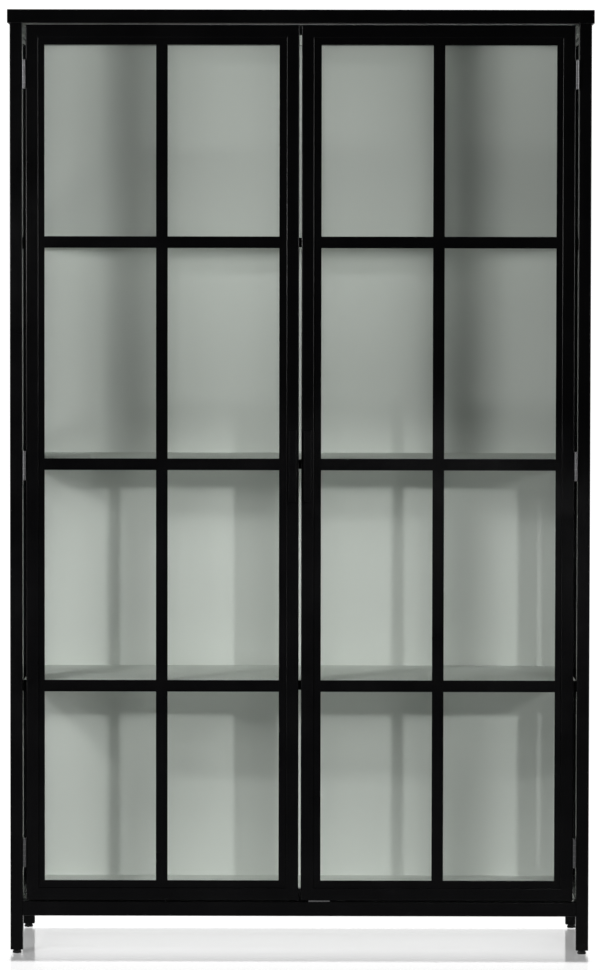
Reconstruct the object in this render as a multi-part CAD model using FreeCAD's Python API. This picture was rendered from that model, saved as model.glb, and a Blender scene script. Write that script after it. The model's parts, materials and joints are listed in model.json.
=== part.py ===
import FreeCAD, Part
import math
import os

from FreeCAD import Vector

# A free-standing glazed display cabinet with two doors. Millimetres, +Z up, the front faces -Y.
# The origin is at the middle of the floor area that the whole cabinet, handles included, covers.

# ---- overall size -------------------------------------------------------------------------------
CAP_WIDTH = 1210.0
CAP_DEPTH = 430.0
OVERALL_HEIGHT = 1955.0
CAP_THICKNESS = 27.5
CAP_OVERHANG = 5.0  # the cap stands out past the posts by this much all round
HANDLE_PROJECTION = 22.0  # how far the pulls stand out from the door faces

# ---- steel sections -----------------------------------------------------------------------------
TUBE = 26.0  # square tube of the posts and rails
TUBE_WALL = 1.5
TUBE_RADIUS = 1.8  # outer corner radius of every tube
SHEET = 1.5  # folded sheet of the top cap
FLANGE = 15.0  # width of the flat glazing flange on a tube
HINGE_FLANGE = 12.3  # the same on the hinge stile of a door
FLAT = 3.0  # thickness of flanges, flat bars and angles
FLANGE_SETBACK = 4.0  # flanges and flat bars lie this far behind the tube face
BAR_WIDTH = 24.0  # flat bars that divide the glass
ANGLE_LEG = 20.0  # leg of the shelf ledgers

# ---- heights ------------------------------------------------------------------------------------
FOOT_HEIGHT = 8.0
BASE_BOTTOM = 79.0
BASE_TOP = 109.0
SHELF_LEVELS = (558.0, 1017.5, 1476.5)  # mid-heights of the shelves and of the bars in front of them
SHELF_THICKNESS = 20.0
FLOOR_TOP = 113.0
FLOOR_THICKNESS = 18.0
CEILING_THICKNESS = 3.0

# ---- doors --------------------------------------------------------------------------------------
DOOR_DEPTH = 25.0
HINGE_GAP = 7.2  # between a post and its door
MEETING_GAP = 5.0  # between the two doors
DOOR_TOP_GAP = 4.0
DOOR_BOTTOM_GAP = 3.0

# ---- glass, beads and panels --------------------------------------------------------------------
GLASS = 4.0
GLASS_CLEARANCE = 2.0  # round the edges of a pane
BEAD_WIDTH = 10.0
BEAD_DEPTH = 9.0
BACK_PANEL = 6.0
TRIM = 3.0  # black edge trim on the front of a shelf
INSIDE_CLEARANCE = 0.5  # panels and shelves, each end
SHELF_SETBACK = 2.0  # shelf fronts behind the rear faces of the front posts

# ---- hinges -------------------------------------------------------------------------------------
HINGE_HEIGHTS = (211.0, 1014.5, 1822.0)
HINGE_LENGTH = 60.0
LEAF = 1.2
LEAF_DEPTH = 22.0
KNUCKLES = 5
KNUCKLE_RADIUS = 3.6
KNUCKLE_GAP = 0.3
PIN_RADIUS = 1.6
PIN_CLEARANCE = 0.05
BARREL_OFFSET = 4.0  # barrel axis in front of the door face
HINGE_SCREW_PITCH = 21.0

# ---- handles, catches, feet, brackets -----------------------------------------------------------
HANDLE_LENGTH = 148.0
HANDLE_WIDTH = 16.0
HANDLE_THICKNESS = 4.0
HANDLE_CENTRE_Z = 1015.0
STANDOFF_RADIUS = 4.5
STANDOFF_PITCH = 128.0
CATCH_WIDTH = 46.0
CATCH_HEIGHT = 20.0
CATCH_DEPTH = 16.0
CATCH_RADIUS = 1.2  # of its rounded edges
CATCH_GAP = 0.5  # between a catch and the closed doors
PAD_START = 19.0  # left end of the door pad, right of the middle of the cabinet
PAD_LENGTH = 44.0
PAD_SETBACK = 1.8
PAD_GAP = 0.4  # under the door
GLIDE_RADIUS = 9.2
GLIDE_THICKNESS = 4.5
HEXAGON_RADIUS = 8.0
STEM_RADIUS = 4.0
STEM_LENGTH = 34.0
STEM_CLEARANCE = 0.05
END_PLATE = 5.0
FOOT_GAP = 0.3
BRACKET_PITCH = 1000.0
BRACKET_WIDTH = 30.0
BRACKET_HEIGHT = 20.0
BRACKET_HOLE_RADIUS = 3.25
SMALL_SCREW = (1.75, 3.0)  # shank and head radius
HANDLE_SCREW = (2.0, 3.6)
SUNK_DEPTH = 1.2  # depth of a countersunk head
HEAD_HEIGHT = 2.4  # height of a head that stands on the surface
RECESS_DEPTH = 0.8
HINGE_SCREW_LENGTH = 12.0
BEAD_SCREW_LENGTH = 14.0
BEAD_SCREWS_UPRIGHT = 6
BEAD_SCREWS_LEVEL = 2
HANDLE_SCREW_GRIP = 8.0  # length of thread inside a standoff
SHELF_SCREW_GRIP = 20.0
BACK_SCREWS = 6

# ---- derived places -----------------------------------------------------------------------------
OVERALL_DEPTH = CAP_DEPTH - CAP_OVERHANG + HANDLE_PROJECTION
FRONT = HANDLE_PROJECTION - OVERALL_DEPTH / 2  # front plane of the posts and doors
BACK = FRONT + CAP_DEPTH - 2 * CAP_OVERHANG  # rear plane of the posts
SIDE = CAP_WIDTH / 2 - CAP_OVERHANG  # outer faces of the posts, either side of the middle
INNER = SIDE - TUBE
FRONT_INNER = FRONT + TUBE
BACK_INNER = BACK - TUBE
CAP_BOTTOM = OVERALL_HEIGHT - CAP_THICKNESS
RAIL_BOTTOM = CAP_BOTTOM - TUBE
FRAME = TUBE + FLANGE  # width of a door's rails and meeting stile
HINGE_FRAME = TUBE + HINGE_FLANGE  # width of its hinge stile

REAR_FLANGE_BACK = BACK - FLANGE_SETBACK
PANEL_BACK = REAR_FLANGE_BACK - FLAT
PANEL_FRONT = PANEL_BACK - BACK_PANEL
SHELF_FRONT = FRONT_INNER + SHELF_SETBACK
DOOR_BACK = FRONT + DOOR_DEPTH
DOOR_OUTER = -INNER + HINGE_GAP
DOOR_MEETING = -MEETING_GAP / 2
DOOR_BOTTOM = BASE_TOP + DOOR_BOTTOM_GAP
DOOR_TOP = CAP_BOTTOM - DOOR_TOP_GAP
CATCH_FRONT = DOOR_BACK + CATCH_GAP
FLANGE_FRONT = FRONT + FLANGE_SETBACK
GLASS_FRONT = FLANGE_FRONT + FLAT
BEAD_FRONT = GLASS_FRONT + GLASS
HINGE_X = -INNER + HINGE_GAP / 2
HINGE_Y = FRONT - BARREL_OFFSET
MEETING_TUBE_X = DOOR_MEETING - TUBE / 2


# ---- building blocks ----------------------------------------------------------------------------
def box(low, high):
    size = [high[i] - low[i] for i in range(3)]
    return Part.makeBox(size[0], size[1], size[2], Vector(*low))


def rounded(shape, radius, along):
    """Rounds the edges of a box that run along one axis (0, 1 or 2)."""
    edges = []
    for edge in shape.Edges:
        start, end = edge.Vertexes[0].Point, edge.Vertexes[-1].Point
        if abs((end - start)[along]) > radius * 2:
            edges.append(edge)
    return shape.makeFillet(radius, edges)


def tube(low, high, along):
    """A hollow square tube with rounded outer corners."""
    outer = rounded(box(low, high), TUBE_RADIUS, along)
    bore_low = [low[i] if i == along else low[i] + TUBE_WALL for i in range(3)]
    bore_high = [high[i] if i == along else high[i] - TUBE_WALL for i in range(3)]
    return outer.cut(box(bore_low, bore_high))


def joined(shapes):
    """One solid out of pieces that are welded or folded from one blank."""
    return shapes[0].fuse(shapes[1:]).removeSplitter()


def group(shapes):
    return Part.makeCompound(shapes)


def mirrored(shape):
    return shape.mirror(Vector(0, 0, 0), Vector(1, 0, 0))


def cylinder(point, axis, radius, length):
    return Part.makeCylinder(radius, length, Vector(*point), Vector(*axis))


def prism(points, y_low, y_high):
    """A solid with an outline in the XZ plane."""
    corners = [Vector(x, y_low, z) for x, z in points]
    face = Part.Face(Part.makePolygon(corners + corners[:1]))
    return face.extrude(Vector(0, y_high - y_low, 0))


def hexagon(point, axis, radius, depth):
    """A hexagonal prism from point along axis."""
    circle = [math.radians(60 * i) for i in range(7)]
    outline = Part.makePolygon([Vector(radius * math.cos(a), radius * math.sin(a), 0) for a in circle])
    solid = Part.Face(outline).extrude(Vector(0, 0, depth))
    turn = FreeCAD.Rotation(Vector(0, 0, 1), Vector(*axis))
    solid.Placement = FreeCAD.Placement(Vector(*point), turn)
    return solid


class Screw:
    """A screw that enters the work at point and runs along axis."""

    def __init__(self, point, axis, length, sizes, sunk):
        self.point, self.axis, self.length = point, axis, length
        self.shank_radius, self.head_radius = sizes
        self.sunk = sunk

    def top(self):
        """Centre of the head's outer face."""
        rise = 0.0 if self.sunk else HEAD_HEIGHT
        return [self.point[i] - self.axis[i] * rise for i in range(3)]

    def blank(self):
        """The screw without its drive recess: also the shape of its hole."""
        shank = cylinder(self.point, self.axis, self.shank_radius, self.length)
        if self.sunk:
            cone = (self.head_radius, self.shank_radius, SUNK_DEPTH)
            head = Part.makeCone(*cone, Vector(*self.point), Vector(*self.axis))
        else:
            head = cylinder(self.top(), self.axis, self.head_radius, HEAD_HEIGHT)
        return head.fuse(shank).removeSplitter()

    def solid(self):
        recess = hexagon(self.top(), self.axis, self.head_radius * 0.4, RECESS_DEPTH)
        return self.blank().cut(recess)


def drilled(shape, screws):
    """A part with the holes that its screws sit in."""
    for screw in screws:
        shape = shape.cut(screw.blank())
    return shape


def solids(screws):
    return [screw.solid() for screw in screws]


def spread(low, high, count):
    """Evenly spaced places from low to high."""
    return [low + (high - low) * i / (count - 1) for i in range(count)]


def export(name, shape):
    shape.exportStep("parts/" + name + ".step")


def export_pair(name, shape):
    """Writes a piece of the left side and its mirror image on the right."""
    export("left_" + name, shape)
    export("right_" + name, mirrored(shape))


# ---- top and frame ------------------------------------------------------------------------------
def top_cap():
    low = (-CAP_WIDTH / 2, FRONT - CAP_OVERHANG, CAP_BOTTOM)
    high = (CAP_WIDTH / 2, BACK + CAP_OVERHANG, OVERALL_HEIGHT)
    block = box(low, high)
    folds = []
    for edge in block.Edges:
        if edge.CenterOfMass.z > CAP_BOTTOM + 1:
            folds.append(edge)
    return block.makeFillet(SHEET, folds).cut(top_core())


def top_core():
    low = (-CAP_WIDTH / 2 + SHEET, FRONT - CAP_OVERHANG + SHEET, CAP_BOTTOM)
    high = (CAP_WIDTH / 2 - SHEET, BACK + CAP_OVERHANG - SHEET, OVERALL_HEIGHT - SHEET)
    return box(low, high)


def ceiling_panel():
    """A pale sheet under the cap that is folded down over the front of the rear top rail."""
    level = box((-INNER, FRONT_INNER, CAP_BOTTOM - CEILING_THICKNESS), (INNER, BACK_INNER, CAP_BOTTOM))
    lip = box((-INNER, BACK_INNER - CEILING_THICKNESS, RAIL_BOTTOM), (INNER, BACK_INNER, CAP_BOTTOM))
    return joined([level, lip])


def end_plate(y_low):
    """The plate welded into the foot of a post, with the hole that takes a levelling stem."""
    low = (-SIDE + TUBE_WALL, y_low + TUBE_WALL, FOOT_HEIGHT + FOOT_GAP)
    high = (-INNER - TUBE_WALL, y_low + TUBE - TUBE_WALL, FOOT_HEIGHT + FOOT_GAP + END_PLATE)
    middle = (-SIDE + TUBE / 2, y_low + TUBE / 2, FOOT_HEIGHT)
    hole = cylinder(middle, (0, 0, 1), STEM_RADIUS + STEM_CLEARANCE, END_PLATE * 2)
    return box(low, high).cut(hole)


def left_post(y_low):
    return tube((-SIDE, y_low, FOOT_HEIGHT + FOOT_GAP), (-INNER, y_low + TUBE, CAP_BOTTOM), 2)


def side_flange(y_low, y_high, z_low, z_high):
    """A flat bar in the plane of the left side's glazing flanges."""
    outer = -SIDE + FLANGE_SETBACK
    return box((outer, y_low, z_low), (outer + FLAT, y_high, z_high))


def rear_flange(x_low, x_high, z_low, z_high):
    """A flat bar in the plane of the flanges that hold the back panel."""
    return box((x_low, PANEL_BACK, z_low), (x_high, REAR_FLANGE_BACK, z_high))


def front_post():
    flange = side_flange(FRONT_INNER, FRONT_INNER + FLANGE, BASE_TOP, RAIL_BOTTOM)
    return group([joined([left_post(FRONT), end_plate(FRONT)]), flange])


def rear_post():
    side = side_flange(BACK_INNER - FLANGE, BACK_INNER, BASE_TOP, RAIL_BOTTOM)
    rear = rear_flange(-INNER, -INNER + FLANGE, BASE_TOP, RAIL_BOTTOM)
    return group([joined([left_post(BACK_INNER), end_plate(BACK_INNER)]), side, rear])


def side_rail(z_low, z_high, flange_low):
    """A side rail between the posts, with its flange between the posts' flanges."""
    rail = tube((-SIDE, FRONT_INNER, z_low), (-INNER, BACK_INNER, z_high), 1)
    inside = (FRONT_INNER + FLANGE, BACK_INNER - FLANGE)
    return group([rail, side_flange(*inside, flange_low, flange_low + FLANGE)])


def cross_rail(y_low, z_low, z_high):
    """A hollow rail between two posts, left to right."""
    return tube((-INNER, y_low, z_low), (INNER, y_low + TUBE, z_high), 0)


def rear_rail(z_low, z_high, flange_low):
    """A rear rail with its flange between the rear flanges of the posts."""
    inside = (-INNER + FLANGE, INNER - FLANGE)
    return group([cross_rail(BACK_INNER, z_low, z_high), rear_flange(*inside, flange_low, flange_low + FLANGE)])


def rear_cross_bars():
    """Flat bars behind the back panel, level with the shelves."""
    bars = []
    for level in SHELF_LEVELS:
        inside = (-INNER + FLANGE, INNER - FLANGE)
        bars.append(rear_flange(*inside, level - BAR_WIDTH / 2, level + BAR_WIDTH / 2))
    return bars


# ---- sides --------------------------------------------------------------------------------------
def side_bars():
    bars = []
    for level in SHELF_LEVELS:
        z_low = level - BAR_WIDTH / 2
        inside = (FRONT_INNER + FLANGE, BACK_INNER - FLANGE)
        bars.append(side_flange(*inside, z_low, z_low + BAR_WIDTH))
    return bars


def side_glass_place():
    """Outer face and inner face of the left pane."""
    outer = -SIDE + FLANGE_SETBACK + FLAT
    return outer, outer + GLASS


def side_glass():
    outer, inner = side_glass_place()
    low = (outer, FRONT_INNER + GLASS_CLEARANCE, BASE_TOP + GLASS_CLEARANCE)
    high = (inner, BACK_INNER - GLASS_CLEARANCE, RAIL_BOTTOM - GLASS_CLEARANCE)
    return box(low, high)


def side_beads():
    """Four beads inside the left pane: two upright, two level between them."""
    x_low = side_glass_place()[1]
    x_high = x_low + BEAD_DEPTH
    beads = []
    for y_low in (FRONT_INNER, BACK_INNER - BEAD_WIDTH):
        beads.append(box((x_low, y_low, BASE_TOP), (x_high, y_low + BEAD_WIDTH, RAIL_BOTTOM)))
    for z_low in (BASE_TOP, RAIL_BOTTOM - BEAD_WIDTH):
        low = (x_low, FRONT_INNER + BEAD_WIDTH, z_low)
        beads.append(box(low, (x_high, BACK_INNER - BEAD_WIDTH, z_low + BEAD_WIDTH)))
    return beads


# ---- inside -------------------------------------------------------------------------------------
def back_panel():
    half = INNER - INSIDE_CLEARANCE
    low = (-half, PANEL_FRONT, BASE_TOP + INSIDE_CLEARANCE)
    return box(low, (half, PANEL_BACK, RAIL_BOTTOM - INSIDE_CLEARANCE))


def inside_board(y_front, y_back, z_low, z_high):
    half = INNER - INSIDE_CLEARANCE
    return box((-half, y_front, z_low), (half, y_back, z_high))


def floor_panel():
    """A board between the base rails, with a lip on the rear one and a notch for the lower catch."""
    bottom = FLOOR_TOP - FLOOR_THICKNESS
    board = inside_board(FRONT_INNER, BACK_INNER, bottom, FLOOR_TOP)
    lip = inside_board(BACK_INNER, PANEL_FRONT, BASE_TOP, FLOOR_TOP)
    half = CATCH_WIDTH / 2 + INSIDE_CLEARANCE
    notch_back = CATCH_FRONT + CATCH_DEPTH + INSIDE_CLEARANCE
    notch = box((-half, FRONT_INNER, bottom), (half, notch_back, FLOOR_TOP))
    return joined([board, lip]).cut(notch)


def shelf(level):
    half = SHELF_THICKNESS / 2
    return inside_board(SHELF_FRONT + TRIM, PANEL_FRONT, level - half, level + half)


def shelf_trims():
    half = SHELF_THICKNESS / 2
    trims = []
    for level in SHELF_LEVELS:
        trims.append(inside_board(SHELF_FRONT, SHELF_FRONT + TRIM, level - half, level + half))
    return trims


def shelf_ledgers():
    """Angles from post to post under the left ends of the shelves, one upright leg outside."""
    ledgers = []
    for level in SHELF_LEVELS:
        seat = level - SHELF_THICKNESS / 2
        upright = box((-INNER - FLAT, FRONT_INNER, seat - FLAT), (-INNER, BACK_INNER, seat - FLAT + ANGLE_LEG))
        seat_low = (-INNER, SHELF_FRONT, seat - FLAT)
        ledgers.append(joined([upright, box(seat_low, (-INNER + ANGLE_LEG - FLAT, PANEL_FRONT, seat))]))
    return ledgers


def floor_ledger():
    """The angle on the inner face of the left base rail that carries the floor panel."""
    seat = FLOOR_TOP - FLOOR_THICKNESS
    upright = box((-INNER, FRONT_INNER, BASE_BOTTOM), (-INNER + FLAT, BACK_INNER, seat))
    level = box((-INNER, FRONT_INNER, seat - FLAT), (-INNER + ANGLE_LEG, BACK_INNER, seat))
    return joined([upright, level])


def catch(z_low):
    """A double magnetic catch behind the meeting stiles, with a shallow slot for each magnet."""
    low = (-CATCH_WIDTH / 2, CATCH_FRONT, z_low)
    high = (CATCH_WIDTH / 2, CATCH_FRONT + CATCH_DEPTH, z_low + CATCH_HEIGHT)
    body = rounded(box(low, high), CATCH_RADIUS, 1)
    for side in (-1, 1):
        middle = side * CATCH_WIDTH / 4
        for z in (z_low + CATCH_HEIGHT * 0.3, z_low + CATCH_HEIGHT * 0.7):
            slot = box((middle - 7, CATCH_FRONT, z - 1), (middle + 7, CATCH_FRONT + 1.5, z + 1))
            body = body.cut(slot)
    return body


def catches():
    """The lower catch stands in a notch of the floor panel, and the upper one hangs from the ceiling."""
    foot_low = (-CATCH_WIDTH / 2, FRONT_INNER, FLOOR_TOP - FLOOR_THICKNESS)
    foot = box(foot_low, (CATCH_WIDTH / 2, CATCH_FRONT + CATCH_DEPTH, FLOOR_TOP + CATCH_RADIUS))
    lower = joined([catch(FLOOR_TOP), foot])
    return [lower, catch(CAP_BOTTOM - CEILING_THICKNESS - CATCH_HEIGHT)]


def door_pad():
    """A pale pad on the base rail that guides the free corner of the right door as it closes."""
    low = (PAD_START, FRONT + PAD_SETBACK, BASE_TOP)
    high = (PAD_START + PAD_LENGTH, FRONT_INNER - PAD_SETBACK, DOOR_BOTTOM - PAD_GAP)
    return box(low, high)


# ---- hinges of the left door --------------------------------------------------------------------
def knuckle_spans(middle_z):
    """Low and high end of each knuckle of one hinge, from the bottom up."""
    pitch = HINGE_LENGTH / KNUCKLES
    low = middle_z - HINGE_LENGTH / 2
    spans = []
    for i in range(KNUCKLES):
        spans.append((low + i * pitch + KNUCKLE_GAP / 2, low + (i + 1) * pitch - KNUCKLE_GAP / 2))
    return spans


def hinge_leaf(middle_z, x_low, own_knuckles, bore_radius):
    """A leaf whose near face is at x_low, with its own knuckles round the pin."""
    z_low = middle_z - HINGE_LENGTH / 2
    plate_low = (x_low, FRONT + 0.4, z_low)
    pieces = [box(plate_low, (x_low + LEAF, FRONT + LEAF_DEPTH, z_low + HINGE_LENGTH))]
    spans = [knuckle_spans(middle_z)[i] for i in own_knuckles]
    for low, high in spans:
        pieces.append(cylinder((HINGE_X, HINGE_Y, low), (0, 0, 1), KNUCKLE_RADIUS, high - low))
        pieces.append(box((x_low, HINGE_Y, low), (x_low + LEAF, FRONT + 0.4, high)))
    bore = cylinder((HINGE_X, HINGE_Y, z_low), (0, 0, 1), bore_radius, HINGE_LENGTH)
    return joined(pieces).cut(bore)


def frame_leaf(middle_z):
    return hinge_leaf(middle_z, -INNER, range(0, KNUCKLES, 2), PIN_RADIUS)


def door_leaf(middle_z):
    return hinge_leaf(middle_z, DOOR_OUTER - LEAF, range(1, KNUCKLES, 2), PIN_RADIUS + PIN_CLEARANCE)


def hinge_pin(middle_z):
    low = middle_z - HINGE_LENGTH / 2
    return cylinder((HINGE_X, HINGE_Y, low), (0, 0, 1), PIN_RADIUS, HINGE_LENGTH)


def hinge_screws(x, direction):
    """Three countersunk screws for each leaf that lies with its open face at x."""
    screws = []
    for middle in HINGE_HEIGHTS:
        for z in spread(middle - HINGE_SCREW_PITCH, middle + HINGE_SCREW_PITCH, 3):
            point = (x, FRONT + LEAF_DEPTH * 0.6, z)
            screws.append(Screw(point, (direction, 0, 0), HINGE_SCREW_LENGTH, SMALL_SCREW, True))
    return screws


def frame_hinge_screws():
    return hinge_screws(-INNER + LEAF, -1)


def door_hinge_screws():
    return hinge_screws(DOOR_OUTER - LEAF, 1)


# ---- left door ----------------------------------------------------------------------------------
def mitre(side):
    """The mitred outline of one member of the door frame."""
    left, right, low, high = DOOR_OUTER, DOOR_MEETING, DOOR_BOTTOM, DOOR_TOP
    outer = {"left": ((left, low), (left, high)), "right": ((right, high), (right, low)),
             "top": ((left, high), (right, high)), "bottom": ((right, low), (left, low))}
    inner = {"left": ((left + HINGE_FRAME, high - FRAME), (left + HINGE_FRAME, low + FRAME)),
             "right": ((right - FRAME, low + FRAME), (right - FRAME, high - FRAME)),
             "top": ((right - FRAME, high - FRAME), (left + HINGE_FRAME, high - FRAME)),
             "bottom": ((left + HINGE_FRAME, low + FRAME), (right - FRAME, low + FRAME))}
    return prism(list(outer[side]) + list(inner[side]), FRONT - 1, DOOR_BACK + 1)


def door_member(side):
    """A stile or rail: a hollow tube along the door's edge and a flange towards the glass."""
    left, right, low, high = DOOR_OUTER, DOOR_MEETING, DOOR_BOTTOM, DOOR_TOP
    spans = {
        "left": ((left, low), (left + TUBE, high), (left + TUBE, low), (left + HINGE_FRAME, high)),
        "right": ((right - TUBE, low), (right, high), (right - FRAME, low), (right - TUBE, high)),
        "top": ((left, high - TUBE), (right, high), (left, high - FRAME), (right, high - TUBE)),
        "bottom": ((left, low), (right, low + TUBE), (left, low + TUBE), (right, low + FRAME)),
    }
    tube_low, tube_high, flange_low, flange_high = spans[side]
    along = 2 if side in ("left", "right") else 0
    bar = tube((tube_low[0], FRONT, tube_low[1]), (tube_high[0], DOOR_BACK, tube_high[1]), along)
    flange = box((flange_low[0], FLANGE_FRONT, flange_low[1]), (flange_high[0], GLASS_FRONT, flange_high[1]))
    return group([bar.common(mitre(side)), flange.common(mitre(side))])


def door_opening():
    """Left, right, low and high limits of the space inside the tubes of the door frame."""
    return DOOR_OUTER + TUBE, DOOR_MEETING - TUBE, DOOR_BOTTOM + TUBE, DOOR_TOP - TUBE


def clear_opening():
    """Left, right, low and high limits of the space inside the flanges of the door frame."""
    return DOOR_OUTER + HINGE_FRAME, DOOR_MEETING - FRAME, DOOR_BOTTOM + FRAME, DOOR_TOP - FRAME


def door_upright_bar():
    left, right, low, high = clear_opening()
    middle = (left + right) / 2
    return box((middle - BAR_WIDTH / 2, FLANGE_FRONT, low), (middle + BAR_WIDTH / 2, GLASS_FRONT, high))


def door_cross_bars():
    left, right, low, high = clear_opening()
    middle = (left + right) / 2
    spans = ((left, middle - BAR_WIDTH / 2), (middle + BAR_WIDTH / 2, right))
    bars = []
    for level in SHELF_LEVELS:
        for start, end in spans:
            low_corner = (start, FLANGE_FRONT, level - BAR_WIDTH / 2)
            bars.append(box(low_corner, (end, GLASS_FRONT, level + BAR_WIDTH / 2)))
    return bars


def door_glass():
    left, right, low, high = door_opening()
    edge = GLASS_CLEARANCE
    return box((left + edge, GLASS_FRONT, low + edge), (right - edge, BEAD_FRONT, high - edge))


def door_beads():
    left, right, low, high = door_opening()
    y_low, y_high = BEAD_FRONT, BEAD_FRONT + BEAD_DEPTH
    beads = []
    for x in (left, right - BEAD_WIDTH):
        beads.append(box((x, y_low, low), (x + BEAD_WIDTH, y_high, high)))
    for z in (low, high - BEAD_WIDTH):
        beads.append(box((left + BEAD_WIDTH, y_low, z), (right - BEAD_WIDTH, y_high, z + BEAD_WIDTH)))
    return beads


def bead_screws():
    """Countersunk screws through the beads into the tubes, on all four sides."""
    left, right, low, high = door_opening()
    y = BEAD_FRONT + BEAD_DEPTH / 2
    inset = BEAD_WIDTH * 5
    screws = []
    for z in spread(low + inset, high - inset, BEAD_SCREWS_UPRIGHT):
        for x, direction in ((left + BEAD_WIDTH, -1), (right - BEAD_WIDTH, 1)):
            screws.append(Screw((x, y, z), (direction, 0, 0), BEAD_SCREW_LENGTH, SMALL_SCREW, True))
    for x in spread(left + inset, right - inset, BEAD_SCREWS_LEVEL):
        for z, direction in ((low + BEAD_WIDTH, -1), (high - BEAD_WIDTH, 1)):
            screws.append(Screw((x, y, z), (0, 0, direction), BEAD_SCREW_LENGTH, SMALL_SCREW, True))
    return screws


def handle_blank():
    """A flat bar pull on two round standoffs."""
    bar_front = FRONT - HANDLE_PROJECTION
    half = HANDLE_LENGTH / 2
    low = (MEETING_TUBE_X - HANDLE_WIDTH / 2, bar_front, HANDLE_CENTRE_Z - half)
    high = (MEETING_TUBE_X + HANDLE_WIDTH / 2, bar_front + HANDLE_THICKNESS, HANDLE_CENTRE_Z + half)
    bar = box(low, high)
    bar = bar.makeFillet(1.2, bar.Edges)
    pieces = [bar]
    for z in standoff_heights():
        start = (MEETING_TUBE_X, bar_front + HANDLE_THICKNESS / 2, z)
        reach = HANDLE_PROJECTION - HANDLE_THICKNESS / 2
        pieces.append(cylinder(start, (0, 1, 0), STANDOFF_RADIUS, reach))
    return joined(pieces)


def standoff_heights():
    return HANDLE_CENTRE_Z - STANDOFF_PITCH / 2, HANDLE_CENTRE_Z + STANDOFF_PITCH / 2


def handle_screws():
    """Screws from the back of the meeting stile through into the standoffs."""
    length = DOOR_DEPTH + HANDLE_SCREW_GRIP
    screws = []
    for z in standoff_heights():
        screws.append(Screw((MEETING_TUBE_X, DOOR_BACK, z), (0, -1, 0), length, HANDLE_SCREW, False))
    return screws


# ---- screws and brackets at the back ------------------------------------------------------------
def back_panel_screws():
    """Cap screws through the rear flanges of the posts into the back panel."""
    screws = []
    for x in (-INNER + FLANGE / 2, INNER - FLANGE / 2):
        for z in spread(BASE_TOP + FLANGE, RAIL_BOTTOM - FLANGE, BACK_SCREWS):
            point = (x, REAR_FLANGE_BACK, z)
            screws.append(Screw(point, (0, -1, 0), FLAT + BACK_PANEL - 1, SMALL_SCREW, False))
    return screws


def shelf_screws():
    """Screws through the rear cross bars and the back panel into the shelves."""
    length = FLAT + BACK_PANEL + SHELF_SCREW_GRIP
    screws = []
    for level in SHELF_LEVELS:
        for x in spread(-INNER / 2, INNER / 2, 3):
            screws.append(Screw((x, REAR_FLANGE_BACK, level), (0, -1, 0), length, SMALL_SCREW, False))
    return screws


def tether_holes():
    """The holes for wall tethers, through the brackets and into the rear top rail."""
    middle_z = (RAIL_BOTTOM + CAP_BOTTOM) / 2
    depth = TUBE_WALL + FLAT + 1
    holes = []
    for x in (-BRACKET_PITCH / 2, BRACKET_PITCH / 2):
        holes.append(cylinder((x, BACK + FLAT + 1, middle_z), (0, -1, 0), BRACKET_HOLE_RADIUS, depth))
    return group(holes)


def wall_brackets():
    """Plates welded on the rear top rail that stiffen it round the tether holes."""
    middle_z = (RAIL_BOTTOM + CAP_BOTTOM) / 2
    plates = []
    for x in (-BRACKET_PITCH / 2, BRACKET_PITCH / 2):
        low = (x - BRACKET_WIDTH / 2, BACK, middle_z - BRACKET_HEIGHT / 2)
        high = (x + BRACKET_WIDTH / 2, BACK + FLAT, middle_z + BRACKET_HEIGHT / 2)
        plates.append(rounded(box(low, high), 0.8, 1))
    return group(plates).cut(tether_holes())


# ---- feet ---------------------------------------------------------------------------------------
def levelling_foot(x, y):
    """A glide with a hexagon for a spanner and a stem that screws into the post's end plate."""
    glide = cylinder((x, y, 0), (0, 0, 1), GLIDE_RADIUS, GLIDE_THICKNESS)
    glide = glide.makeChamfer(0.8, [glide.Edges[0], glide.Edges[2]])
    nut = hexagon((x, y, GLIDE_THICKNESS), (0, 0, 1), HEXAGON_RADIUS, FOOT_HEIGHT - GLIDE_THICKNESS)
    stem = cylinder((x, y, FOOT_HEIGHT), (0, 0, 1), STEM_RADIUS, STEM_LENGTH)
    return joined([glide, nut, stem])


# ---- write every piece --------------------------------------------------------------------------
def build_frame():
    export("top_cap", top_cap())
    export("top_core", top_core())
    export("ceiling_panel", ceiling_panel())
    export_pair("front_post", drilled(front_post(), frame_hinge_screws()))
    export_pair("rear_post", drilled(rear_post(), back_panel_screws()))
    export_pair("top_rail", side_rail(RAIL_BOTTOM, CAP_BOTTOM, RAIL_BOTTOM - FLANGE))
    export_pair("base_rail", side_rail(BASE_BOTTOM, BASE_TOP, BASE_TOP))
    rear_top_rail = rear_rail(RAIL_BOTTOM, CAP_BOTTOM, RAIL_BOTTOM - FLANGE)
    export("rear_top_rail", rear_top_rail.cut(tether_holes()))
    export("front_base_rail", cross_rail(FRONT, BASE_BOTTOM, BASE_TOP))
    export("rear_base_rail", rear_rail(BASE_BOTTOM, BASE_TOP, BASE_TOP))
    export("rear_cross_bars", group([drilled(bar, shelf_screws()) for bar in rear_cross_bars()]))


def build_sides():
    export_pair("side_bars", group(side_bars()))
    export_pair("side_glass", side_glass())
    export("side_glazing_beads", group(side_beads() + [mirrored(bead) for bead in side_beads()]))


def build_inside():
    export("back_panel", drilled(back_panel(), back_panel_screws() + shelf_screws()))
    export("floor_panel", floor_panel())
    for name, level in zip(("lower_shelf", "middle_shelf", "upper_shelf"), SHELF_LEVELS):
        export(name, drilled(shelf(level), shelf_screws()))
    export("shelf_edge_trims", group(shelf_trims()))
    ledgers = shelf_ledgers() + [floor_ledger()]
    export("shelf_ledgers", group(ledgers + [mirrored(ledger) for ledger in ledgers]))
    export("door_catches", group(catches()))
    export("door_pad", door_pad())


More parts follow.
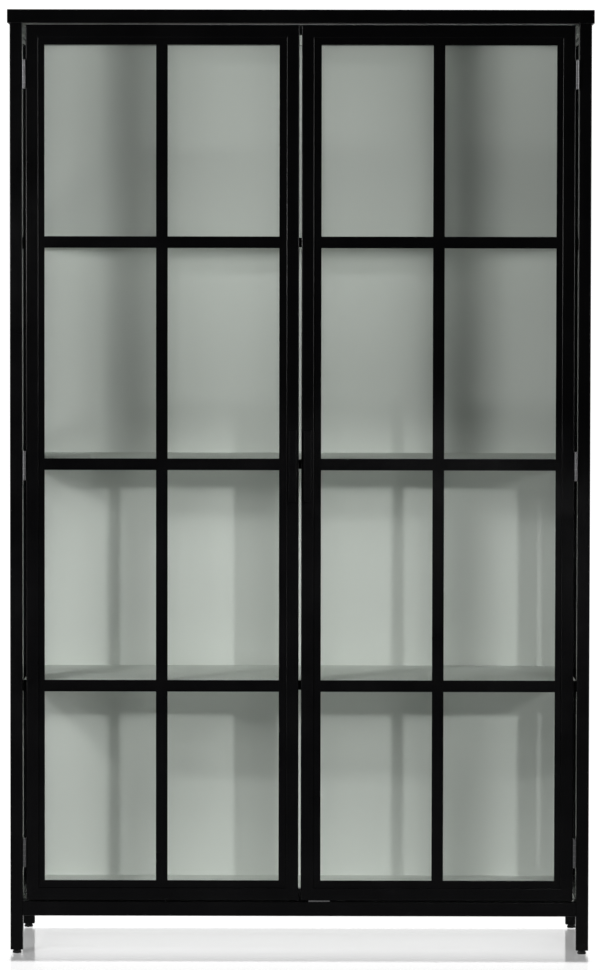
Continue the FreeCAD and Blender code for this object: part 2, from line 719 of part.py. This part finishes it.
def build_hardware():
    leaves = [drilled(frame_leaf(z), frame_hinge_screws()) for z in HINGE_HEIGHTS]
    export("frame_hinge_leaves", group(leaves + [mirrored(leaf) for leaf in leaves]))
    pins = [hinge_pin(z) for z in HINGE_HEIGHTS]
    export("hinge_pins", group(pins + [mirrored(pin) for pin in pins]))
    screws = solids(frame_hinge_screws())
    export("frame_hinge_screws", group(screws + [mirrored(screw) for screw in screws]))
    export("back_screws", group(solids(back_panel_screws() + shelf_screws())))
    export("wall_brackets", wall_brackets())


def build_doors():
    hinge_stile = drilled(door_member("left"), door_hinge_screws() + bead_screws())
    meeting_stile = drilled(door_member("right"), handle_screws() + bead_screws())
    export_pair("door_hinge_stile", hinge_stile)
    export_pair("door_meeting_stile", meeting_stile)
    export_pair("door_top_rail", drilled(door_member("top"), bead_screws()))
    export_pair("door_bottom_rail", drilled(door_member("bottom"), bead_screws()))
    export_pair("door_upright_bar", door_upright_bar())
    export_pair("door_cross_bars", group(door_cross_bars()))
    export_pair("door_glass", door_glass())
    export_pair("door_beads", group([drilled(bead, bead_screws()) for bead in door_beads()]))
    export_pair("door_hinge_leaves", group([drilled(door_leaf(z), door_hinge_screws()) for z in HINGE_HEIGHTS]))
    export_pair("door_handle", drilled(handle_blank(), handle_screws()))
    export_pair("door_screws", group(solids(door_hinge_screws() + bead_screws() + handle_screws())))


def build_feet():
    for y, end in ((FRONT + TUBE / 2, "front"), (BACK - TUBE / 2, "rear")):
        for x, side in ((-SIDE + TUBE / 2, "left"), (SIDE - TUBE / 2, "right")):
            export(end + "_" + side + "_foot", levelling_foot(x, y))


os.makedirs("parts", exist_ok=True)
build_frame()
build_sides()
build_inside()
build_hardware()
build_doors()
build_feet()
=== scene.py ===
import json
import math

import bpy
from mathutils import Matrix, Vector

# A tall glazed display cabinet: a black metal frame with two doors, seen from the front.
# Metres, +Z up, the doors face -Y.

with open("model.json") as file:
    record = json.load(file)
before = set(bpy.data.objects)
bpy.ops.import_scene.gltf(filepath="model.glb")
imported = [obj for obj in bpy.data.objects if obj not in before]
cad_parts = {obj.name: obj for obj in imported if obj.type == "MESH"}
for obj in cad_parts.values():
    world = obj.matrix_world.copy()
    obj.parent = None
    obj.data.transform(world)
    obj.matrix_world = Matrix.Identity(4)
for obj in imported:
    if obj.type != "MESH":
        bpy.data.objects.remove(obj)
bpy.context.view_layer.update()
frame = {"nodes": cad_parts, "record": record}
record_nodes = frame["nodes"]
slot_of = {part["node"]: part["material_slot"] for part in frame["record"]["subparts"]}

# ---- camera: a long lens (in mm) nearly 10 m away, above the middle and looking slightly down ----
CAMERA_PLACE = (0.0341, -9.868, 1.4007)
CAMERA_LENS = 173.65
CAMERA_YAW = math.radians(0.2025)
CAMERA_PITCH = math.radians(2.5195)
CAMERA_ROLL = math.radians(0.0929)
CAMERA_REACH = 60.0

# ---- surroundings -------------------------------------------------------------------------------
AMBIENT_GLOW = 0.03
BACKDROP_GLOW = 1.1
FLOOR_HALF = 3.2
FLOOR_FADE_START = 1.9
FLOOR_FADE_END = 2.9
# The soft-edged painted shade on the floor under the cabinet.
SHADE_HALF_WIDTH = 0.61
SHADE_FRONT = -0.306
SHADE_BACK = 0.20

# ---- glass: how much it mirrors straight on, and how much more at a full slant ---------------------
MIRROR_STRAIGHT = 0.035
MIRROR_SLANT = 0.55
MIRROR_POWER = 5.0


# ---- node helpers -------------------------------------------------------------------------------
class Shader:
    """A procedural material and the few kinds of node that these finishes are made from."""

    def __init__(self, name):
        self.material = bpy.data.materials.new(name)
        self.material.use_nodes = True
        self.tree = self.material.node_tree
        self.output = next(n for n in self.tree.nodes if n.type == "OUTPUT_MATERIAL")
        self.surface = next(n for n in self.tree.nodes if n.type == "BSDF_PRINCIPLED")
        self.place = self.add("ShaderNodeTexCoord").outputs["Object"]

    def add(self, kind, **values):
        node = self.tree.nodes.new(kind)
        for name, value in values.items():
            setattr(node, name, value)
        return node

    def feed(self, socket, value):
        """Links a socket, or sets it to a plain value."""
        if isinstance(value, bpy.types.NodeSocket):
            self.tree.links.new(value, socket)
        else:
            socket.default_value = value

    def stretched(self, scale):
        """The place on the piece, with each axis scaled."""
        node = self.add("ShaderNodeMapping")
        self.feed(node.inputs["Vector"], self.place)
        node.inputs["Scale"].default_value = scale
        return node.outputs["Vector"]

    def noise(self, scale, detail, roughness, place=None):
        node = self.add("ShaderNodeTexNoise")
        self.feed(node.inputs["Vector"], place or self.place)
        node.inputs["Scale"].default_value = scale
        node.inputs["Detail"].default_value = detail
        node.inputs["Roughness"].default_value = roughness
        return node.outputs["Fac"]

    def ramp(self, factor, start, end):
        """A number that runs from 0 to 1 as factor runs from start to end."""
        node = self.add("ShaderNodeMapRange")
        self.feed(node.inputs["Value"], factor)
        node.inputs["From Min"].default_value = start
        node.inputs["From Max"].default_value = end
        return node.outputs["Result"]

    def between(self, factor, low, high):
        """A number that runs from low to high as factor runs from 0 to 1."""
        node = self.add("ShaderNodeMapRange")
        self.feed(node.inputs["Value"], factor)
        node.inputs["To Min"].default_value = low
        node.inputs["To Max"].default_value = high
        return node.outputs["Result"]

    def maths(self, operation, *values):
        node = self.add("ShaderNodeMath", operation=operation)
        for socket, value in zip(node.inputs, values):
            self.feed(socket, value)
        return node.outputs["Value"]

    def mix(self, factor, first, second):
        """Mixes two colours, each a socket or three numbers."""
        node = self.add("ShaderNodeMix", data_type="RGBA")
        self.feed(node.inputs["Factor"], factor)
        for socket, value in ((node.inputs[6], first), (node.inputs[7], second)):
            self.feed(socket, value if isinstance(value, bpy.types.NodeSocket) else (*value, 1.0))
        return node.outputs[2]

    def edges(self, radius):
        """1 on edges and 0 on flat faces, for rubbed wear on steel and a painted highlight on powder coat.
        """
        bevel = self.add("ShaderNodeBevel", samples=4)
        bevel.inputs["Radius"].default_value = radius
        flat = self.add("ShaderNodeNewGeometry").outputs["Normal"]
        agreement = self.add("ShaderNodeVectorMath", operation="DOT_PRODUCT")
        self.feed(agreement.inputs[0], bevel.outputs["Normal"])
        self.feed(agreement.inputs[1], flat)
        return self.ramp(agreement.outputs["Value"], start=0.99, end=0.8)

    def bump(self, height, strength, distance):
        node = self.add("ShaderNodeBump")
        self.feed(node.inputs["Height"], height)
        node.inputs["Strength"].default_value = strength
        node.inputs["Distance"].default_value = distance
        self.feed(self.surface.inputs["Normal"], node.outputs["Normal"])

    def blend(self, factor, first, second):
        """Mixes two shaders into what the material shows."""
        node = self.add("ShaderNodeMixShader")
        for socket, value in zip(node.inputs, (factor, first, second)):
            self.feed(socket, value)
        self.feed(self.output.inputs["Surface"], node.outputs["Shader"])

    def finish(self, color, roughness, **constants):
        self.feed(self.surface.inputs["Base Color"], color)
        self.feed(self.surface.inputs["Roughness"], roughness)
        for name, value in constants.items():
            self.surface.inputs[name.replace("_", " ")].default_value = value
        return self.material


# ---- finishes -----------------------------------------------------------------------------------
def powder_coat(name, dark, pale, roughness, gloss):
    """Satin black powder coat: fine orange peel, faint cloudiness and a painted highlight on the edges."""
    s = Shader(name)
    clouds = s.noise(scale=9.0, detail=4.0, roughness=0.6)
    peel = s.noise(scale=1400.0, detail=2.0, roughness=0.6)
    coat = s.mix(s.ramp(clouds, 0.3, 0.7), dark, pale)
    # Painted highlight: the edges are mixed a little towards a lighter black.
    edge_highlight_color = [2.5 * value for value in pale]
    color = s.mix(s.maths("MULTIPLY", s.edges(radius=0.0012), 0.35), coat, edge_highlight_color)
    s.bump(peel, strength=0.18, distance=0.0003)
    unevenness = s.ramp(s.maths("ADD", clouds, peel), 0.7, 1.3)
    return s.finish(
        color, s.between(unevenness, roughness - 0.05, roughness + 0.07), Specular_IOR_Level=gloss
    )


def lacquer(name, dark, pale, speck):
    """Pale satin lacquer on board: a very faint roller texture, specks and a slow colour drift."""
    s = Shader(name)
    drift = s.noise(scale=2.2, detail=3.0, roughness=0.55)
    speckle = s.noise(scale=420.0, detail=3.0, roughness=0.7)
    color = s.mix(s.ramp(drift, 0.25, 0.75), dark, pale)
    color = s.mix(s.maths("MULTIPLY", s.ramp(speckle, 0.62, 0.8), 0.12), color, speck)
    roller = s.noise(scale=650.0, detail=2.0, roughness=0.6)
    s.bump(roller, strength=0.10, distance=0.0002)
    rough = s.between(s.ramp(speckle, 0.3, 0.7), 0.42, 0.55)
    return s.finish(color, rough, Specular_IOR_Level=0.3)


def glazing(name):
    """Thin clear glass: a faint green tint, a weak mirror that grows at a slant, and light smears."""
    s = Shader(name)
    facing = s.add("ShaderNodeLayerWeight").outputs["Facing"]
    slant = s.maths("POWER", facing, MIRROR_POWER)
    mirror = s.maths("MULTIPLY_ADD", slant, MIRROR_SLANT, MIRROR_STRAIGHT)
    clear = s.add("ShaderNodeBsdfTransparent")
    smears = s.noise(scale=3.5, detail=5.0, roughness=0.65, place=s.stretched((1.0, 1.0, 0.4)))
    tint = s.mix(s.ramp(smears, 0.3, 0.75), (0.985, 0.995, 0.987), (0.978, 0.99, 0.981))
    s.feed(clear.inputs["Color"], tint)
    mirrored = s.mix(smears, (0.80, 0.86, 0.83), (0.86, 0.9, 0.88))
    s.finish(mirrored, s.between(smears, 0.02, 0.09), Metallic=1.0)
    s.blend(mirror, clear.outputs["BSDF"], s.surface.outputs["BSDF"])
    return s.material


def moulded(name, dark, pale):
    """Moulded plastic with a fine spark-eroded texture."""
    s = Shader(name)
    texture = s.noise(scale=1800.0, detail=2.0, roughness=0.7)
    drift = s.noise(scale=25.0, detail=2.0, roughness=0.5)
    color = s.mix(s.ramp(drift, 0.3, 0.7), dark, pale)
    s.bump(texture, strength=0.25, distance=0.0002)
    return s.finish(color, s.between(texture, 0.44, 0.56))


def blackened_steel(name, dark, pale):
    """Blackened steel with turning marks and brighter rubbed edges."""
    s = Shader(name)
    rubbed = (0.16, 0.16, 0.165)
    marks = s.noise(scale=300.0, detail=3.0, roughness=0.6, place=s.stretched((1.0, 1.0, 8.0)))
    color = s.mix(s.ramp(marks, 0.35, 0.65), dark, pale)
    color = s.mix(s.edges(radius=0.0006), color, rubbed)
    s.bump(marks, strength=0.2, distance=0.0001)
    return s.finish(color, s.between(marks, 0.3, 0.5), Metallic=0.85)


def painted_board(name, dark, pale):
    """Board painted black, with its long grain showing through."""
    s = Shader(name)
    grain = s.noise(scale=30.0, detail=4.0, roughness=0.6, place=s.stretched((1.0, 6.0, 6.0)))
    s.bump(grain, strength=0.3, distance=0.0005)
    return s.finish(s.mix(grain, dark, pale), s.between(grain, 0.7, 0.85))


finishes = {
    "black_frame": powder_coat("black_frame", (0.0025, 0.0025, 0.0028), (0.0036, 0.0036, 0.004), 0.19, 0.1),
    "handle": powder_coat("handle", (0.0021, 0.0021, 0.0024), (0.0031, 0.0031, 0.0035), 0.19, 0.09),
    "light_panel": lacquer("light_panel", (0.78, 0.805, 0.77), (0.82, 0.84, 0.81), (0.62, 0.64, 0.61)),
    "glass": glazing("glass"),
    "catch_plastic": moulded("catch_plastic", (0.13, 0.13, 0.135), (0.16, 0.16, 0.165)),
    "pad_plastic": moulded("pad_plastic", (0.085, 0.085, 0.088), (0.11, 0.11, 0.114)),
    "screw_steel": blackened_steel("screw_steel", (0.03, 0.03, 0.032), (0.06, 0.06, 0.062)),
    "foot": blackened_steel("foot", (0.008, 0.008, 0.008), (0.014, 0.014, 0.014)),
    "board_core": painted_board("board_core", (0.014, 0.014, 0.014), (0.026, 0.025, 0.024)),
}
# The hinge leaves are a little brighter than the screws in them.
hinge_finish = blackened_steel("hinge_steel", (0.06, 0.06, 0.062), (0.09, 0.09, 0.093))

for name, node in record_nodes.items():
    is_hinge = name.endswith("hinge_leaves")
    node.data.materials.clear()
    node.data.materials.append(hinge_finish if is_hinge else finishes[slot_of[name]])


# ---- floor, light and camera --------------------------------------------------------------------
def floor_material():
    """A pale polished floor with a soft painted shade under the cabinet, turning white around it."""
    s = Shader("floor")
    axes = s.add("ShaderNodeSeparateXYZ")
    s.feed(axes.inputs["Vector"], s.place)
    side = s.ramp(s.maths("ABSOLUTE", axes.outputs["X"]), SHADE_HALF_WIDTH, SHADE_HALF_WIDTH - 0.02)
    front = s.ramp(axes.outputs["Y"], SHADE_FRONT - 0.02, SHADE_FRONT + 0.01)
    back = s.ramp(axes.outputs["Y"], SHADE_BACK, SHADE_BACK - 0.03)
    shade = s.maths("MULTIPLY", side, s.maths("MULTIPLY", front, back))
    tone = s.noise(scale=1.5, detail=3.0, roughness=0.5)
    s.finish(s.mix(tone, (0.80, 0.80, 0.81), (0.84, 0.84, 0.85)), s.between(tone, 0.08, 0.13))
    s.surface.inputs["Emission Color"].default_value = (1.0, 1.0, 1.0, 1.0)
    # Painted shade: the floor glows less where the shade mask is 1, under the cabinet.
    s.feed(s.surface.inputs["Emission Strength"], s.between(shade, 0.5, 0.2))
    distance = s.add("ShaderNodeVectorMath", operation="LENGTH")
    s.feed(distance.inputs[0], s.place)
    rim = s.ramp(distance.outputs["Value"], FLOOR_FADE_START, FLOOR_FADE_END)
    see_through = s.maths("MAXIMUM", rim, s.between(shade, 0.65, 0.0))
    clear = s.add("ShaderNodeBsdfTransparent")
    s.blend(see_through, s.surface.outputs["BSDF"], clear.outputs["BSDF"])
    return s.material


def make_floor():
    corners = [(x * FLOOR_HALF, y * FLOOR_HALF, 0) for x, y in ((-1, -1), (1, -1), (1, 1), (-1, 1))]
    mesh = bpy.data.meshes.new("floor")
    mesh.from_pydata(corners, [], [(0, 1, 2, 3)])
    floor = bpy.data.objects.new("floor", mesh)
    bpy.context.scene.collection.objects.link(floor)
    floor.data.materials.append(floor_material())
    return floor


def light_group(name, objects):
    """A set of objects that a lamp may be told to light."""
    group = bpy.data.collections.new(name)
    for item in objects:
        group.objects.link(item)
    return group


def place_lamp(name, light, place, target):
    """Aims a light. Like lamps behind a polarising filter, none of them glares in the glass."""
    lamp = bpy.data.objects.new(name, light)
    lamp.location = place
    lamp.rotation_euler = (Vector(target) - Vector(place)).to_track_quat("-Z", "Y").to_euler()
    lamp.visible_camera = False
    lamp.light_linking.receiver_collection = all_but_glass
    bpy.context.scene.collection.objects.link(lamp)
    return lamp


def area_light(name, place, target, size, power):
    light = bpy.data.lights.new(name, "AREA")
    light.shape = "RECTANGLE"
    light.size, light.size_y = size
    light.energy = power
    return place_lamp(name, light, place, target)


def edge_light(name, place, target, size, power):
    """A soft box that shows only as a reflection along the edges of the metal."""
    lamp = area_light(name, place, target, size, power)
    lamp.visible_diffuse = False


def spot_light(name, place, target, radius, cone, blend, power):
    light = bpy.data.lights.new(name, "SPOT")
    light.shadow_soft_size = radius
    light.spot_size = math.radians(cone)
    light.spot_blend = blend
    light.energy = power
    return place_lamp(name, light, place, target)


def make_world():
    """White where the camera looks past the object, and a soft grey glow for everything else."""
    world = bpy.data.worlds.new("studio")
    bpy.context.scene.world = world
    world.use_nodes = True
    tree = world.node_tree
    ambient = next(n for n in tree.nodes if n.type == "BACKGROUND")
    out = next(n for n in tree.nodes if n.type == "OUTPUT_WORLD")
    backdrop = tree.nodes.new("ShaderNodeBackground")
    for node, glow in ((ambient, AMBIENT_GLOW), (backdrop, BACKDROP_GLOW)):
        node.inputs["Color"].default_value = (1.0, 1.0, 1.0, 1.0)
        node.inputs["Strength"].default_value = glow
    path = tree.nodes.new("ShaderNodeLightPath")
    blend = tree.nodes.new("ShaderNodeMixShader")
    tree.links.new(path.outputs["Is Camera Ray"], blend.inputs[0])
    tree.links.new(ambient.outputs["Background"], blend.inputs[1])
    tree.links.new(backdrop.outputs["Background"], blend.inputs[2])
    tree.links.new(blend.outputs["Shader"], out.inputs["Surface"])


def make_camera():
    data = bpy.data.cameras.new("camera")
    data.lens = CAMERA_LENS
    data.clip_end = CAMERA_REACH
    camera = bpy.data.objects.new("camera", data)
    turn = Matrix.Rotation(CAMERA_YAW, 4, "Z")
    tilt = Matrix.Rotation(math.radians(90) - CAMERA_PITCH, 4, "X")
    roll = Matrix.Rotation(CAMERA_ROLL, 4, "Z")
    camera.matrix_world = Matrix.Translation(CAMERA_PLACE) @ turn @ tilt @ roll
    bpy.context.scene.collection.objects.link(camera)
    bpy.context.scene.camera = camera


floor = make_floor()
lit_nodes = [node for name, node in record_nodes.items() if slot_of[name] != "glass"]
panel_nodes = [node for name, node in record_nodes.items() if slot_of[name] == "light_panel"]
all_but_glass = light_group("all_but_glass", [floor] + lit_nodes)
panels = light_group("panels", panel_nodes)
make_world()
make_camera()

# Small sources from both sides throw the slanting shades of the bars on the back panel.
# A size is the width and the height of a source, and a power is in watts.
MIDDLE = (0.0, 0.0, 1.0)
area_light("left_near", (-1.05, -1.4, 1.5), MIDDLE, size=(0.3, 0.15), power=2.8)
area_light("left_mid", (-1.55, -1.95, 1.52), MIDDLE, size=(0.3, 0.15), power=13)
area_light("left_far", (-2.2, -3.0, 1.54), MIDDLE, size=(0.4, 0.15), power=6.5)
area_light("left_low", (-1.4, -2.2, 0.5), MIDDLE, size=(0.4, 0.2), power=5.5)
area_light("left_side", (-3.5, -1.0, 1.5), MIDDLE, size=(1.0, 0.4), power=7)
area_light("right_far", (2.6, -4.2, 1.58), MIDDLE, size=(0.6, 0.2), power=17)

# Thin bright lines along the edges of the posts and the stiles.
for name, side in (("left_edges", -1), ("right_edges", 1)):
    edge_light(name, (side * 3.6, -2.2, 1.75), (0.0, 0.0, 1.75), size=(1.2, 1.2), power=120)

# Light from behind, for the other views and for the floor.
area_light("rear", (0.6, 4.5, 3.2), (0.0, 0.2, 1.0), size=(2.5, 2.0), power=60)
area_light("backdrop", (0.0, 4.5, 0.8), (0.0, 0.0, 0.8), size=(5.0, 1.5), power=22)

# The two lower rows are brighter, and the light panels of the upper rows get a glow of their own.
# A cone is in degrees, from side to side.
spot_light("low_key", (1.38, -5.94, 1.78), (0.0, 0.2, 0.22), radius=0.09, cone=16.0, blend=0.25, power=280)
spot_light("low_left", (-2.6, -4.2, 1.7), (0.0, 0.2, 0.17), radius=0.12, cone=17.4, blend=0.15, power=13)
spot_light("low_right", (2.6, -4.2, 1.7), (0.0, 0.2, 0.27), radius=0.20, cone=17.4, blend=0.15, power=22)
upper_glow = spot_light(
    "upper_glow", (0.0, -5.0, 2.1), (0.0, 0.2, 1.56), radius=0.1, cone=10.5, blend=1.0, power=92
)
upper_glow.light_linking.receiver_collection = panels
bpy.context.scene.view_settings.view_transform = "Standard"
